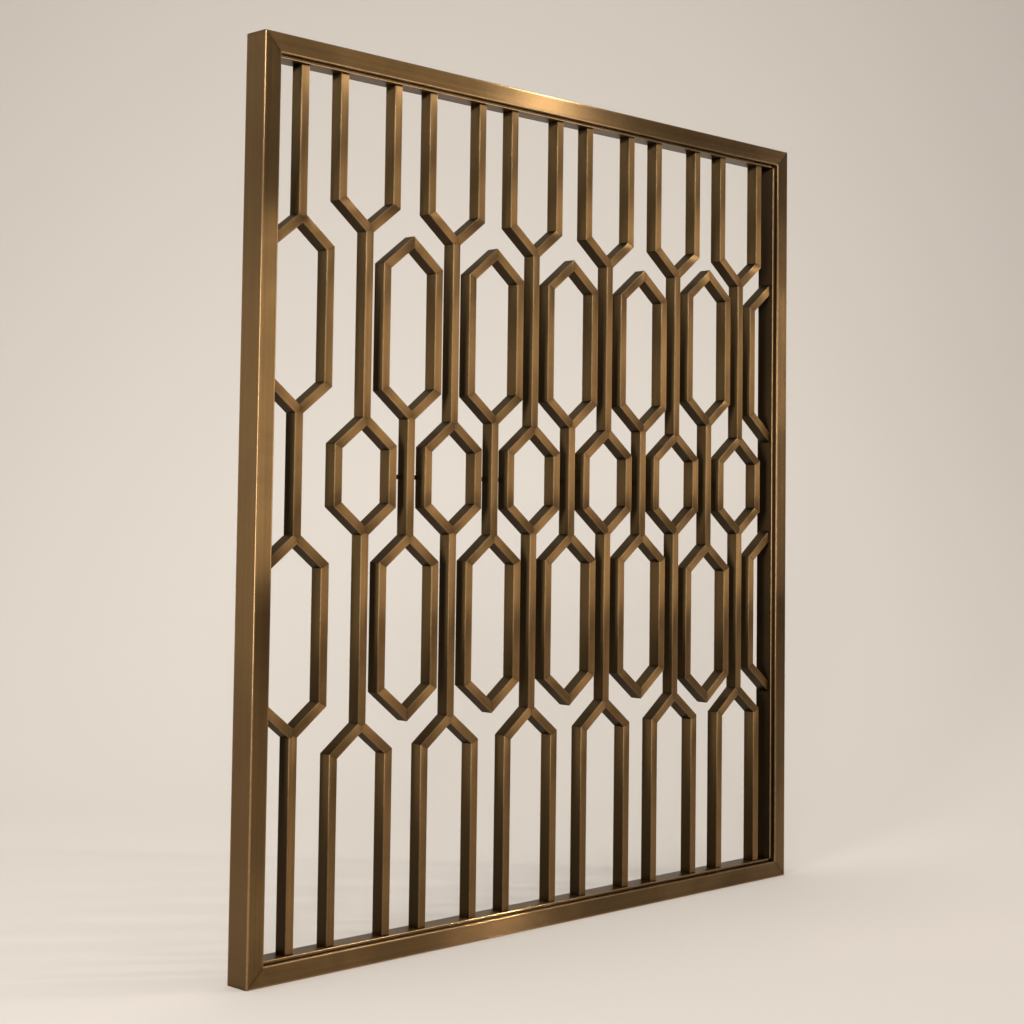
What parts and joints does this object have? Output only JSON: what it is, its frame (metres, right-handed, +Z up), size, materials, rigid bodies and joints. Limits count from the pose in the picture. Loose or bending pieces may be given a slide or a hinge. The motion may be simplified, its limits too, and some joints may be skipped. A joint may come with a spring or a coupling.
{
  "type": "decorative screen panel",
  "caption": "Upright metal screen panel: a mitred tube frame and liner filled with a lattice of straight bars, forks and six-sided loops.",
  "frame": {"origin": "middle of the underside of the bottom rail, at floor level", "axes": "+X along the panel's width to its right as seen from the front, +Y to the back, +Z up; the front faces -Y"},
  "size_m": [1.1, 0.04, 1.2],
  "materials": {
    "frame": "brushed antique bronze, dark, with worn bright edges",
    "liner": "brushed antique bronze, darker, with a worn bright front edge",
    "lattice": "brushed antique bronze, dark, with worn bright edges"
  },
  "bodies": {
    "root": {"bottom_rail": "frame", "right_stile": "frame", "top_rail": "frame", "left_stile": "frame", "bottom_liner": "liner", "right_liner": "liner", "top_liner": "liner", "left_liner": "liner", "fork_column_1": "lattice", "fork_column_2": "lattice", "fork_column_3": "lattice", "fork_column_4": "lattice", "fork_column_5": "lattice", "fork_column_6": "lattice", "twin_loop_column_1": "lattice", "twin_loop_column_2": "lattice", "twin_loop_column_3": "lattice", "twin_loop_column_4": "lattice", "twin_loop_column_5": "lattice", "side_column": "lattice", "upper_end_loop": "lattice", "lower_end_loop": "lattice"}
  },
  "joints": []
}
